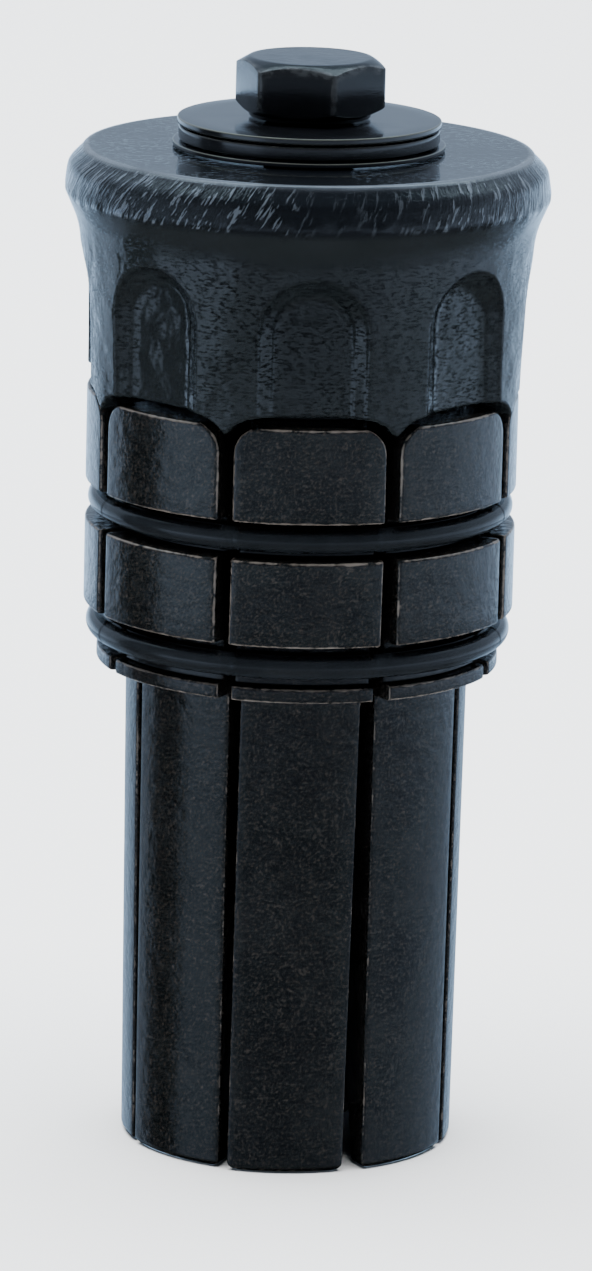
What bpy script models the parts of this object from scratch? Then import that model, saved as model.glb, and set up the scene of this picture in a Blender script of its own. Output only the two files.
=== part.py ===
"""Pipe expander: a hex bolt draws a tapered eight-sided mandrel up inside eight segments.

The flats of the mandrel push the segments outwards, each along its own radius, and two
rubber rings pull them back. The tool stands on the feet of its fingers, with Z along the bolt.
"""

import math

import bmesh
import bpy

# Clearances
SEAT_GAP = 0.0003  # between faces that bear on each other
THREAD_GAP = 0.0003  # round the bolt, in the mandrel and in the stop ring
WASHER_GAP = 0.0004  # round the bolt, in the washers
PAD_CLEARANCE = 0.0013  # between the pads' tops and the collar's scalloped edge
LAND_CLEARANCE = 0.0005  # between a spread land and the collar's skirt

# Movement of each segment from closed to fully spread
SPREAD = 0.0025

# Segments, from the feet upwards
SEGMENT_COUNT = 8
SEGMENT_GAP = 0.0018
FINGER_LENGTH = 0.0705
FINGER_FOOT_RADIUS = 0.0240
FINGER_TOP_RADIUS = 0.0246
FINGER_FOOT_WALL = 0.0047
FOOT_CHAMFER = 0.0009
FOOT_CORNER_RADIUS = 0.0014
PAD_RADIUS = 0.0309
LIP_HEIGHT = 0.0023
LIP_SETBACK = 0.0020  # of the lip's outer side behind the pads' surface
LOWER_GROOVE_WIDTH = 0.0061
LOWER_PAD_HEIGHT = 0.0125
UPPER_GROOVE_WIDTH = 0.0052
UPPER_PAD_HEIGHT = 0.0138
PAD_CHAMFER = 0.0005
PAD_CORNER_RADIUS = 0.0040
LAND_HEIGHT = 0.0011
WEDGE_ANGLE = math.radians(9.0)
SHANK_CLEARANCE = 0.0045  # between the bolt and the straight flats above the wedge

# Rubber rings
RING_SECTION = 0.0034
RING_SETBACK = 0.0004  # of a ring's outer side behind the pads' surface

# Bolt
BOLT_RADIUS = 0.00635
HEAD_ACROSS_FLATS = 0.01905
HEAD_HEIGHT = 0.0079
HEAD_CHAMFER_RADIUS = 0.0087
HEAD_CHAMFER_ANGLE = math.radians(30.0)
HEAD_TURN = math.radians(16.0)  # of the hexagon's corner from the front
WASHER_FACE_RADIUS = 0.0087
WASHER_FACE_HEIGHT = 0.0006
BOLT_TIP_CHAMFER = 0.0010
BOLT_FOOT_CLEARANCE = 0.0020  # between the bolt's tip and the surface that the feet stand on

# Washers, from the collar upwards
LOWER_WASHER_RADIUS = 0.0194
LOWER_WASHER_THICKNESS = 0.0006
THRUST_WASHER_RADIUS = 0.0186
THRUST_WASHER_THICKNESS = 0.0019
TOP_WASHER_RADIUS = 0.0188
TOP_WASHER_THICKNESS = 0.0009
WASHER_CHAMFER = 0.0002

# Mandrel and the ring that keeps it on the bolt
MANDREL_LENGTH = 0.0260
STOP_RING_RADIUS = 0.0095
STOP_RING_HEIGHT = 0.0050
STOP_RING_OFFSET = 0.0010  # from the bolt's tip
STOP_RING_CHAMFER = 0.0008

# Collar, from its underside upwards
COLLAR_HEIGHT = 0.0332
SKIRT_STANDOUT = 0.0007  # past the pads' closed surface
SKIRT_WALL = 0.0046
SKIRT_OVERLAP = 0.0013  # of the scallops' tips past the pads' tops
RIM_OVERHANG = 0.0031  # past the skirt
SHOULDER_WIDTH = 0.0030  # of the rounding from the top face to the rim
SHOULDER_HEIGHT = 0.0042
RIM_HEIGHT = 0.0061  # from the top face to the rim's lower edge
RIM_UNDERCUT = 0.0003  # of the rim's lower edge
NECK_HEIGHT = 0.0129  # of the hollow curve under the rim
FLUTE_WIDTH = 0.0162
FLUTE_HEIGHT = 0.0197  # from the collar's underside to the top of the arch
FLUTE_DEPTH = 0.0021  # at the middle of the flute's foot
FLUTE_WALL = 0.0023  # of the slope from the arch's edge down to the floor
FLUTE_LEAN = math.radians(1.0)

# Fineness of the round shapes
TURN_STEPS = 64
RING_STEPS = 48
RING_SECTION_STEPS = 10
SEGMENT_ARC_STEPS = 8
CORNER_STEPS = 5
CURVE_STEPS = 6
MERGE_DISTANCE = 0.000001
CUT_MARGIN = 0.0030  # of a cutter past what it cuts

# Heights of the segments' features above the feet
LIP_TOP = FINGER_LENGTH + LIP_HEIGHT
LOWER_PAD_FOOT = LIP_TOP + LOWER_GROOVE_WIDTH
LOWER_PAD_TOP = LOWER_PAD_FOOT + LOWER_PAD_HEIGHT
UPPER_PAD_FOOT = LOWER_PAD_TOP + UPPER_GROOVE_WIDTH
UPPER_PAD_TOP = UPPER_PAD_FOOT + UPPER_PAD_HEIGHT
LAND_TOP = UPPER_PAD_TOP + LAND_HEIGHT

# Radii that follow from the pads, the rings, the wedge and the spread
SKIRT_RADIUS = PAD_RADIUS + SKIRT_STANDOUT
SKIRT_INNER_RADIUS = SKIRT_RADIUS - SKIRT_WALL
RIM_RADIUS = SKIRT_RADIUS + RIM_OVERHANG
COLLAR_TOP_RADIUS = RIM_RADIUS - SHOULDER_WIDTH
FLUTE_FLOOR = SKIRT_RADIUS - FLUTE_DEPTH
LIP_RADIUS = PAD_RADIUS - LIP_SETBACK
RING_RADIUS = PAD_RADIUS - RING_SETBACK - RING_SECTION / 2
GROOVE_RADIUS = RING_RADIUS - RING_SECTION / 2 - SEAT_GAP
LAND_RADIUS = SKIRT_INNER_RADIUS - SPREAD - LAND_CLEARANCE
FOOT_FLAT = FINGER_FOOT_RADIUS - FINGER_FOOT_WALL
SHANK_FLAT = BOLT_RADIUS + SHANK_CLEARANCE

# Heights of what the bolt clamps
COLLAR_FOOT = LAND_TOP + SEAT_GAP
COLLAR_TOP = COLLAR_FOOT + COLLAR_HEIGHT
LOWER_WASHER_FOOT = COLLAR_TOP + SEAT_GAP
THRUST_WASHER_FOOT = LOWER_WASHER_FOOT + LOWER_WASHER_THICKNESS + SEAT_GAP
TOP_WASHER_FOOT = THRUST_WASHER_FOOT + THRUST_WASHER_THICKNESS + SEAT_GAP
HEAD_SEAT = TOP_WASHER_FOOT + TOP_WASHER_THICKNESS + SEAT_GAP
HEAD_FOOT = HEAD_SEAT + WASHER_FACE_HEIGHT
HEAD_TOP = HEAD_FOOT + HEAD_HEIGHT
STOP_RING_FOOT = BOLT_FOOT_CLEARANCE + STOP_RING_OFFSET
MANDREL_FOOT = STOP_RING_FOOT + STOP_RING_HEIGHT + SEAT_GAP

PITCH_ANGLE = 2 * math.pi / SEGMENT_COUNT
FRONT = -math.pi / 2  # the direction that the first segment faces


def material(name, color, roughness, metallic):
    """A Principled material."""
    made = bpy.data.materials.new(name)
    made.use_nodes = True
    shader = made.node_tree.nodes["Principled BSDF"]
    shader.inputs["Base Color"].default_value = (*color, 1.0)
    shader.inputs["Roughness"].default_value = roughness
    shader.inputs["Metallic"].default_value = metallic
    return made


def new_object(name, mesh, surface=None, turn=0.0):
    """An object of the mesh, turned about the bolt's axis."""
    made = bpy.data.objects.new(name, mesh)
    made.rotation_euler.z = turn
    bpy.context.collection.objects.link(made)
    if surface:
        mesh.materials.clear()
        mesh.materials.append(surface)
    return made


def mesh_from(name, bm):
    """A mesh with its faces pointing out, smooth where it is round."""
    bmesh.ops.remove_doubles(bm, verts=bm.verts, dist=MERGE_DISTANCE)
    bmesh.ops.recalc_face_normals(bm, faces=bm.faces)
    mesh = bpy.data.meshes.new(name)
    bm.to_mesh(mesh)
    bm.free()
    mesh.shade_smooth()
    mesh.set_sharp_from_angle(angle=math.radians(30.0))
    return mesh


def turned(name, outline, steps):
    """A solid turned about Z from (radius, height) points, closed unless it starts on the axis."""
    bm = bmesh.new()
    points = [bm.verts.new((radius, 0.0, height)) for radius, height in outline]
    pairs = list(zip(points, points[1:]))
    if outline[0][0] > 0:
        pairs.append((points[-1], points[0]))
    lines = [bm.edges.new(pair) for pair in pairs]
    bmesh.ops.spin(
        bm,
        geom=points + lines,
        cent=(0.0, 0.0, 0.0),
        axis=(0.0, 0.0, 1.0),
        angle=2 * math.pi,
        steps=steps,
        use_merge=True,
    )
    return mesh_from(name, bm)


def lofted(name, rings):
    """A solid through rings of points, each with as many points as the next, capped at both ends."""
    bm = bmesh.new()
    loops = [[bm.verts.new(point) for point in ring] for ring in rings]
    for low, high in zip(loops, loops[1:]):
        for i in range(len(low)):
            j = (i + 1) % len(low)
            bm.faces.new((low[i], low[j], high[j], high[i]))
    bm.faces.new(reversed(loops[0]))
    bm.faces.new(loops[-1])
    return mesh_from(name, bm)


def cut(target, cutter, operation="DIFFERENCE"):
    """A boolean of the target with a hidden cutter that follows it."""
    cutter.hide_render = True
    cutter.display_type = "WIRE"
    modifier = target.modifiers.new(cutter.name, "BOOLEAN")
    modifier.object = cutter
    modifier.operation = operation


def arc(center, radius, start, end, steps):
    """Points of an arc in a plane, both ends included."""
    angles = [start + (end - start) * i / steps for i in range(steps + 1)]
    return [(center[0] + radius * math.cos(a), center[1] + radius * math.sin(a)) for a in angles]


def wedge_flat(height):
    """Distance from the axis to a segment's inner flat: a wedge below, straight above."""
    return max(SHANK_FLAT, FOOT_FLAT - height * math.tan(WEDGE_ANGLE))


def saw_cut_angle(radius, inset):
    """The direction of a segment's side at a radius, from the segment's middle."""
    return PITCH_ANGLE / 2 - math.asin((SEGMENT_GAP / 2 + inset) / radius)


def outer_arc(height, radius, inset=0.0):
    """A level line across a segment's outer side, from one saw cut to the other."""
    reach = saw_cut_angle(radius, inset)
    return [(x, y, height) for x, y in arc((0.0, 0.0), radius, -reach, reach, SEGMENT_ARC_STEPS)]


def inner_line(height, inset=0.0):
    """The two ends of a level line across a segment's inner flat."""
    flat = wedge_flat(height)
    half_gap = (SEGMENT_GAP / 2 + inset) / math.cos(PITCH_ANGLE / 2)
    side = flat * math.tan(PITCH_ANGLE / 2) - half_gap
    return [(flat, -side, height), (flat, side, height)]


def foot_levels():
    """The rounded corners and the chamfer at the end of a finger, as (height, radius, inset)."""
    levels = []
    for i in range(CORNER_STEPS + 1):
        turn = math.pi / 2 * i / CORNER_STEPS
        height = FOOT_CORNER_RADIUS * (1 - math.cos(turn))
        lost = max(0.0, FOOT_CHAMFER - height)
        inset = FOOT_CORNER_RADIUS * (1 - math.sin(turn))
        levels.append((height, FINGER_FOOT_RADIUS - lost, inset))
    return levels


def band(foot, top, radius):
    """A raised band round a segment with both its edges chamfered, as (height, radius)."""
    return [
        (foot, radius - PAD_CHAMFER),
        (foot + PAD_CHAMFER, radius),
        (top - PAD_CHAMFER, radius),
        (top, radius - PAD_CHAMFER),
    ]


def segment_profile():
    """A segment's outer side above its foot: finger, lip, two pads and the bearing land."""
    lower_groove = [(LIP_TOP, GROOVE_RADIUS), (LOWER_PAD_FOOT, GROOVE_RADIUS)]
    upper_groove = [(LOWER_PAD_TOP, GROOVE_RADIUS), (UPPER_PAD_FOOT, GROOVE_RADIUS)]
    profile = [(FINGER_LENGTH, FINGER_TOP_RADIUS)] + band(FINGER_LENGTH, LIP_TOP, LIP_RADIUS)
    profile += lower_groove + band(LOWER_PAD_FOOT, LOWER_PAD_TOP, PAD_RADIUS)
    profile += upper_groove + band(UPPER_PAD_FOOT, UPPER_PAD_TOP, PAD_RADIUS)
    return profile + [(UPPER_PAD_TOP, LAND_RADIUS), (LAND_TOP, LAND_RADIUS)]


def segment_mesh():
    """One segment, facing +X, between two saw cuts."""
    bm = bmesh.new()
    foot = foot_levels()
    outer = [outer_arc(*level) for level in foot + segment_profile()]
    wedge_top = (FOOT_FLAT - SHANK_FLAT) / math.tan(WEDGE_ANGLE)
    inner = [inner_line(height, inset) for height, _, inset in foot]
    inner += [inner_line(wedge_top), inner_line(LAND_TOP)]
    outer = [[bm.verts.new(point) for point in line] for line in outer]
    inner = [[bm.verts.new(point) for point in line] for line in inner]
    for low, high in zip(outer, outer[1:]):
        for i in range(SEGMENT_ARC_STEPS):
            bm.faces.new((low[i], low[i + 1], high[i + 1], high[i]))
    for low, high in zip(inner, inner[1:]):
        bm.faces.new((low[1], low[0], high[0], high[1]))
    last = len(foot) - 1
    for i in range(last):
        for end in (0, -1):
            bm.faces.new((outer[i][end], inner[i][end], inner[i + 1][end], outer[i + 1][end]))
    for end in (0, -1):
        down = [line[end] for line in reversed(inner[last:])]
        bm.faces.new([line[end] for line in outer[last:]] + down)
    bm.faces.new(outer[0] + inner[0][::-1])
    bm.faces.new(outer[-1] + inner[-1][::-1])
    return mesh_from("segment", bm)


def pad_half_width():
    """Half the width of a pad at its outer surface."""
    return PAD_RADIUS * math.sin(saw_cut_angle(PAD_RADIUS, 0.0))


def prism(name, outline, near, far, lean=0.0):
    """A solid from (width, height) points, running outwards along X from near to far."""
    foot = min(height for _, height in outline)
    inner = [(near + (z - foot) * math.tan(lean), y, z) for y, z in outline]
    outer = [(far, y, z) for y, z in outline]
    return lofted(name, [inner, outer])


def pad_corner_mesh(side):
    """What is cut from a pad's upper corner, on one side, to round it."""
    center = (side * (pad_half_width() - PAD_CORNER_RADIUS), UPPER_PAD_TOP - PAD_CORNER_RADIUS)
    upright = math.pi / 2
    outline = arc(center, PAD_CORNER_RADIUS, upright, upright - side * upright, CORNER_STEPS)
    beyond = side * (pad_half_width() + CUT_MARGIN)
    outline.append((beyond, center[1]))
    outline.append((beyond, LAND_TOP + CUT_MARGIN))
    outline.append((center[0], LAND_TOP + CUT_MARGIN))
    return prism("pad_corner", outline, LAND_RADIUS, PAD_RADIUS + CUT_MARGIN)


def make_segments(surface):
    """The eight segments, the first one facing the front."""
    mesh = segment_mesh()
    corners = {"left": pad_corner_mesh(1), "right": pad_corner_mesh(-1)}
    for i in range(SEGMENT_COUNT):
        turn = FRONT + i * PITCH_ANGLE
        segment = new_object(f"segment_{i + 1}", mesh, surface, turn)
        for side, corner in corners.items():
            cut(segment, new_object(f"cut_{side}_corner_{i + 1}", corner, turn=turn))


def make_rubber_ring(name, foot, top, surface):
    """A round rubber ring in the middle of a groove."""
    center = (RING_RADIUS, (foot + top) / 2)
    outline = arc(center, RING_SECTION / 2, 0.0, 2 * math.pi, RING_SECTION_STEPS)[:-1]
    new_object(name, turned(name, outline, RING_STEPS), surface)


def hexagon(name, foot, top):
    """A hexagonal prism with the head's size, its corner turned from the front."""
    corner = HEAD_ACROSS_FLATS / 2 / math.cos(math.pi / 6)
    outline = arc((0.0, 0.0), corner, 0.0, 2 * math.pi, 6)[:-1]
    rings = [[(x, y, height) for x, y in outline] for height in (foot, top)]
    return lofted(name, rings)


def make_bolt(surface):
    """The bolt: hex head with a chamfered top, washer face and shank in one solid."""
    bolt = new_object("bolt", hexagon("bolt", HEAD_FOOT, HEAD_TOP), surface, FRONT + HEAD_TURN)
    drop = math.tan(HEAD_CHAMFER_ANGLE)
    wide = HEAD_CHAMFER_RADIUS + HEAD_HEIGHT / 2 / drop
    dome = [
        (0.0, HEAD_FOOT - CUT_MARGIN),
        (wide, HEAD_FOOT - CUT_MARGIN),
        (wide, HEAD_TOP - HEAD_HEIGHT / 2),
        (HEAD_CHAMFER_RADIUS - CUT_MARGIN, HEAD_TOP + CUT_MARGIN * drop),
        (0.0, HEAD_TOP + CUT_MARGIN * drop),
    ]
    cut(bolt, new_object("cut_head_dome", turned("head_dome", dome, TURN_STEPS)), "INTERSECT")
    tip = BOLT_FOOT_CLEARANCE
    shank = [
        (0.0, tip),
        (BOLT_RADIUS - BOLT_TIP_CHAMFER, tip),
        (BOLT_RADIUS, tip + BOLT_TIP_CHAMFER),
        (BOLT_RADIUS, HEAD_SEAT),
        (WASHER_FACE_RADIUS, HEAD_SEAT),
        (WASHER_FACE_RADIUS, HEAD_FOOT + HEAD_HEIGHT / 2),
        (0.0, HEAD_FOOT + HEAD_HEIGHT / 2),
    ]
    cut(bolt, new_object("add_shank", turned("shank", shank, RING_STEPS)), "UNION")


def make_bushing(name, foot, height, radius, bore, chamfer, surface):
    """A plain ring with its outer edges chamfered."""
    top = foot + height
    outline = [
        (bore, foot),
        (radius - chamfer, foot),
        (radius, foot + chamfer),
        (radius, top - chamfer),
        (radius - chamfer, top),
        (bore, top),
    ]
    new_object(name, turned(name, outline, RING_STEPS), surface)


def make_washers(surface):
    """The three washers between the bolt's head and the collar."""
    stack = {
        "lower_washer": (LOWER_WASHER_FOOT, LOWER_WASHER_THICKNESS, LOWER_WASHER_RADIUS),
        "thrust_washer": (THRUST_WASHER_FOOT, THRUST_WASHER_THICKNESS, THRUST_WASHER_RADIUS),
        "top_washer": (TOP_WASHER_FOOT, TOP_WASHER_THICKNESS, TOP_WASHER_RADIUS),
    }
    for name, (foot, thickness, radius) in stack.items():
        bore = BOLT_RADIUS + WASHER_GAP
        make_bushing(name, foot, thickness, radius, bore, WASHER_CHAMFER, surface)


def make_mandrel(surface):
    """The eight-sided nut whose flats lie on the segments' wedge flats."""
    rings = []
    for height in (MANDREL_FOOT, MANDREL_FOOT + MANDREL_LENGTH):
        flat = FOOT_FLAT - height * math.tan(WEDGE_ANGLE) - SEAT_GAP / math.cos(WEDGE_ANGLE)
        corner = flat / math.cos(PITCH_ANGLE / 2)
        first = PITCH_ANGLE / 2
        outline = arc((0.0, 0.0), corner, first, first + 2 * math.pi, SEGMENT_COUNT)[:-1]
        rings.append([(x, y, height) for x, y in outline])
    mandrel = new_object("mandrel", lofted("mandrel", rings), surface, FRONT)
    bore = BOLT_RADIUS + THREAD_GAP
    low, high = MANDREL_FOOT - CUT_MARGIN, MANDREL_FOOT + MANDREL_LENGTH + CUT_MARGIN
    outline = [(0.0, low), (bore, low), (bore, high), (0.0, high)]
    cut(mandrel, new_object("cut_mandrel_bore", turned("mandrel_bore", outline, RING_STEPS)))


def neck_radius(height):
    """The collar's radius under its rim: a hollow curve from the rim's edge in to the skirt."""
    neck_foot = COLLAR_TOP - RIM_HEIGHT - NECK_HEIGHT
    share = max(0.0, (height - neck_foot) / NECK_HEIGHT)
    return SKIRT_RADIUS + (RIM_RADIUS - RIM_UNDERCUT - SKIRT_RADIUS) * share**2


def collar_outline():
    """The collar's closed outline, from its bore round the skirt and the rim to its top."""
    skirt_foot = UPPER_PAD_TOP - SKIRT_OVERLAP
    neck_foot = COLLAR_TOP - RIM_HEIGHT - NECK_HEIGHT
    bore = BOLT_RADIUS + WASHER_GAP
    points = [(bore, COLLAR_FOOT), (SKIRT_INNER_RADIUS, COLLAR_FOOT)]
    points += [(SKIRT_INNER_RADIUS, skirt_foot), (SKIRT_RADIUS, skirt_foot)]
    for i in range(CURVE_STEPS + 1):
        height = neck_foot + NECK_HEIGHT * i / CURVE_STEPS
        points.append((neck_radius(height), height))
    for i in range(CURVE_STEPS + 1):
        turn = math.pi / 2 * i / CURVE_STEPS
        radius = COLLAR_TOP_RADIUS + (RIM_RADIUS - COLLAR_TOP_RADIUS) * math.cos(turn)
        points.append((radius, COLLAR_TOP - SHOULDER_HEIGHT * (1 - math.sin(turn))))
    points.append((bore, COLLAR_TOP))
    return points


def arch_outline(inset):
    """The flute's arch, a distance inside its edge, as (width, height) points."""
    spring = COLLAR_FOOT + FLUTE_HEIGHT - FLUTE_WIDTH / 2
    foot = UPPER_PAD_TOP - SKIRT_OVERLAP - CUT_MARGIN
    half = FLUTE_WIDTH / 2 - inset
    outline = arc((0.0, spring), half, 0.0, math.pi, 2 * CURVE_STEPS)
    return outline + [(-half, foot), (half, foot)]


def flute_mesh():
    """A flute with an arched top, whose walls curve in through the skirt to a leaning floor."""
    foot = UPPER_PAD_TOP - SKIRT_OVERLAP - CUT_MARGIN
    rings = []
    for inset, share in ((1.0, 1.0), (1 / 3, 1 / 2), (-1 / 6, -1 / 4)):
        ring = []
        for y, z in arch_outline(FLUTE_WALL * inset):
            surface = math.sqrt(neck_radius(z) ** 2 - y**2)
            floor = FLUTE_FLOOR - (z - foot) * math.tan(FLUTE_LEAN)
            ring.append((surface + (floor - surface) * share, y, z))
        rings.append(ring)
    rings.append([(RIM_RADIUS + CUT_MARGIN, y, z) for _, y, z in rings[-1]])
    return lofted("flute", rings)


def scallop_mesh():
    """The room for a pad's rounded top in the collar's lower edge."""
    side = pad_half_width() + PAD_CLEARANCE
    radius = PAD_CORNER_RADIUS + PAD_CLEARANCE
    center = UPPER_PAD_TOP - PAD_CORNER_RADIUS
    foot = center - CUT_MARGIN
    outline = arc((side - radius, center), radius, 0.0, math.pi / 2, CORNER_STEPS)
    outline += arc((radius - side, center), radius, math.pi / 2, math.pi, CORNER_STEPS)
    outline += [(-side, foot), (side, foot)]
    near = SKIRT_INNER_RADIUS * math.cos(PITCH_ANGLE / 2) - LAND_CLEARANCE
    return prism("scallop", outline, near, RIM_RADIUS + CUT_MARGIN)


def make_collar(surface):
    """The thrust collar, with a flute and a scallop over each segment."""
    body = turned("collar", collar_outline(), TURN_STEPS)
    half_step = math.pi / TURN_STEPS
    collar = new_object("collar", body, surface, half_step)  # no facet's edge runs down a tip
    flute, scallop = flute_mesh(), scallop_mesh()
    for i in range(SEGMENT_COUNT):
        turn = FRONT + i * PITCH_ANGLE
        cut(collar, new_object(f"cut_flute_{i + 1}", flute, turn=turn))
        cut(collar, new_object(f"cut_scallop_{i + 1}", scallop, turn=turn))


for old in list(bpy.data.objects):
    bpy.data.objects.remove(old)

forged = material("forged_steel", (0.035, 0.040, 0.046), 0.42, 0.9)
blackened = material("blackened_steel", (0.028, 0.032, 0.038), 0.34, 0.9)
bolt_steel = material("bolt_steel", (0.030, 0.034, 0.042), 0.28, 0.9)
washer_steel = material("washer_steel", (0.045, 0.050, 0.058), 0.24, 0.9)
rubber = material("rubber", (0.012, 0.012, 0.013), 0.38, 0.0)

make_segments(blackened)
make_rubber_ring("lower_o_ring", LIP_TOP, LOWER_PAD_FOOT, rubber)
make_rubber_ring("upper_o_ring", LOWER_PAD_TOP, UPPER_PAD_FOOT, rubber)
make_bolt(bolt_steel)
make_washers(washer_steel)
make_mandrel(blackened)
make_bushing(
    "stop_ring",
    STOP_RING_FOOT,
    STOP_RING_HEIGHT,
    STOP_RING_RADIUS,
    BOLT_RADIUS + THREAD_GAP,
    STOP_RING_CHAMFER,
    bolt_steel,
)
make_collar(forged)
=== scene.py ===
import math

import bpy
import numpy as np
from mathutils import Matrix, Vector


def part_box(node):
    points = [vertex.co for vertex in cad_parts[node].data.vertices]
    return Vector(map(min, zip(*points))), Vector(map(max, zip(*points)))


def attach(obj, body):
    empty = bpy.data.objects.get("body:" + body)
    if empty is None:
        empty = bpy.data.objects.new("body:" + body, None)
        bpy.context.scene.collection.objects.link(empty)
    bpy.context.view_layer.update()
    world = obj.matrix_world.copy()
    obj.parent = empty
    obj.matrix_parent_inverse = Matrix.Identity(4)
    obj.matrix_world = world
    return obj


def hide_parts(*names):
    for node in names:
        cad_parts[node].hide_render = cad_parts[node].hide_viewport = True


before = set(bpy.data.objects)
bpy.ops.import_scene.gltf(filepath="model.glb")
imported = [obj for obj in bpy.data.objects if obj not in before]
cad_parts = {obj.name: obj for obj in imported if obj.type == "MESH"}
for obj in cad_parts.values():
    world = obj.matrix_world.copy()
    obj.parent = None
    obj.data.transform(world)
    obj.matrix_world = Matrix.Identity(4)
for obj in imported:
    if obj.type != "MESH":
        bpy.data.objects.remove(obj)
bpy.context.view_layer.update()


# The eight segments are sawn from one turned and hardened steel body, then black oxided.
# Each has a long finger, a lip, two raised pads and two ring grooves, and lies under the
# collar, held in by the rubber rings. Handling has rubbed the black off its edges.
MM = 0.001
SEGMENT_COUNT = 8
PITCH_ANGLE = 2 * math.pi / SEGMENT_COUNT
FRONT = -math.pi / 2
HALF_GAP = 0.9 * MM
PAD_SIDE_RELIEF = 0.16 * MM  # each side of a pad, filed back from the saw cut
PAD_RADIUS = 30.9 * MM
GROOVE_RADIUS = 27.1 * MM
LAND_RADIUS = 24.0 * MM
FOOT_RADIUS = 24.0 * MM
FINGER_TOP_RADIUS = 24.6 * MM
FOOT_ROUND = 1.4 * MM
FOOT_CHAMFER = 0.9 * MM
FOOT_WEAR, FINGER_EDGE_WEAR, GROOVE_EDGE_WEAR = 0.75, 0.6, 0.1  # against 1 at the pads' and the lip's edges
FINGER_EDGE = 0.42 * MM
PAD_EDGE = 0.6 * MM
LIP_EDGE = 0.4 * MM
PAD_ROUND, LIP_ROUND, GROOVE_FILLET = 0.45 * MM, 0.4 * MM, 0.3 * MM  # reach of the turned corners
PAD_CORNER = 4.0 * MM
LIP_RADIUS = 28.9 * MM
LIP_FOOT, LIP_TOP = 70.5 * MM, 72.8 * MM
LOWER_PAD_FOOT, LOWER_PAD_TOP = 78.9 * MM, 91.4 * MM
UPPER_PAD_FOOT, UPPER_PAD_TOP = 96.6 * MM, 110.4 * MM
LAND_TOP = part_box("segment_1")[1][2]
WEDGE_FOOT_FLAT = 19.3 * MM
SHANK_FLAT = 10.85 * MM
LEDGE_INSET, LEDGE_STEP = 1.5 * MM, 0.15 * MM  # where the side leaves the pad's round corner for the saw cut
WEDGE_ANGLE = math.radians(9)
PAD_HALF_WIDTH = PAD_RADIUS * math.sin(PITCH_ANGLE / 2 - math.asin(HALF_GAP / PAD_RADIUS))

OXIDE_BLACK, OXIDE_GREY = "#040505", "#101213"
THIN_OXIDE = "#322D29"
WORN_STEEL, WORN_BROWN = "#B0A8A1", "#54463C"


def linear(colour):
    """An sRGB hex colour as linear red, green, blue and alpha: ((c + 0.055) / 1.055) ^ 2.4."""
    parts = [int(colour[i : i + 2], 16) / 255 for i in (1, 3, 5)]
    return tuple(((c + 0.055) / 1.055) ** 2.4 if c > 0.04045 else c / 12.92 for c in parts) + (1.0,)


def add_node(tree, kind, settings=None, **links):
    """Adds a node, sets its properties and sockets, and links sockets to other nodes' outputs. A socket
    is named, or numbered as in the node, where i0 stands for 0 in a link: a Map Range takes its value at
    0, its two limits at 1 and 2 and what they give at 3 and 4, and a Mix takes its share at 0 and its
    two colours at 6 and 7, or its two numbers at 2 and 3."""
    node = tree.nodes.new(kind)
    for key, value in (settings or {}).items():
        if isinstance(key, str) and hasattr(node, key):
            setattr(node, key, value)
        else:
            node.inputs[key].default_value = value
    for key, source in links.items():
        numbered = key[0] == "i" and key[1:].isdigit()
        socket = int(key[1:]) if numbered else key.replace("_", " ")
        tree.links.new(source, node.inputs[socket])
    return node


def new_material(name, **constant):
    """A node material with the values that are the same all over its surface: (material, tree, shader)."""
    made = bpy.data.materials.new(name)
    made.use_nodes = True
    shader = made.node_tree.nodes["Principled BSDF"]
    for key, value in constant.items():
        shader.inputs[key.replace("_", " ")].default_value = value
    return made, made.node_tree, shader


def feed(tree, shader, **sources):
    """Links the shader's sockets, with _ for a space in their names, to other nodes' outputs."""
    for key, source in sources.items():
        tree.links.new(source, shader.inputs[key.replace("_", " ")])


def rounded(corners, steps):
    """An outline through rows of (across, up, reach, worn), each inner corner replaced by the curve
    (1 - t)^2 start + 2 t (1 - t) corner + t^2 end, which starts and ends at its reach from the corner,
    with one more row on the straight at either side, so that the straight shades flat.
    Gives rows of (across, up, worn), with worn highest at the middle of each curve."""
    corners = np.array(corners, float)
    point, reach, worn = corners[:, :2], corners[1:-1, 2:3], corners[1:-1, 3:4]
    way = np.diff(point, axis=0)
    length = np.linalg.norm(way, axis=1, keepdims=True)
    way /= length
    straight = length - np.pad(reach, ((1, 0), (0, 0))) - np.pad(reach, ((0, 1), (0, 0)))
    start, end, middle = point[1:-1] - way[:-1] * reach, point[1:-1] + way[1:] * reach, point[1:-1]
    t = np.linspace(0, 1, steps + 1)[None, :, None]
    curve = (1 - t) ** 2 * start[:, None] + 2 * t * (1 - t) * middle[:, None] + t**2 * end[:, None]
    wear = worn[:, None] * np.sin(math.pi * t) + 0 * curve[..., :1]
    before, after = start - way[:-1] * straight[:-1] * 0.25, end + way[1:] * straight[1:] * 0.25
    curve = np.concatenate([before[:, None], curve, after[:, None]], axis=1)
    wear = np.pad(wear, ((0, 0), (1, 1), (0, 0)))
    inner = np.concatenate([curve, wear], axis=-1).reshape(-1, 3)
    return np.vstack([[*point[0], 0.0], inner, [*point[-1], 0.0]])


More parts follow.
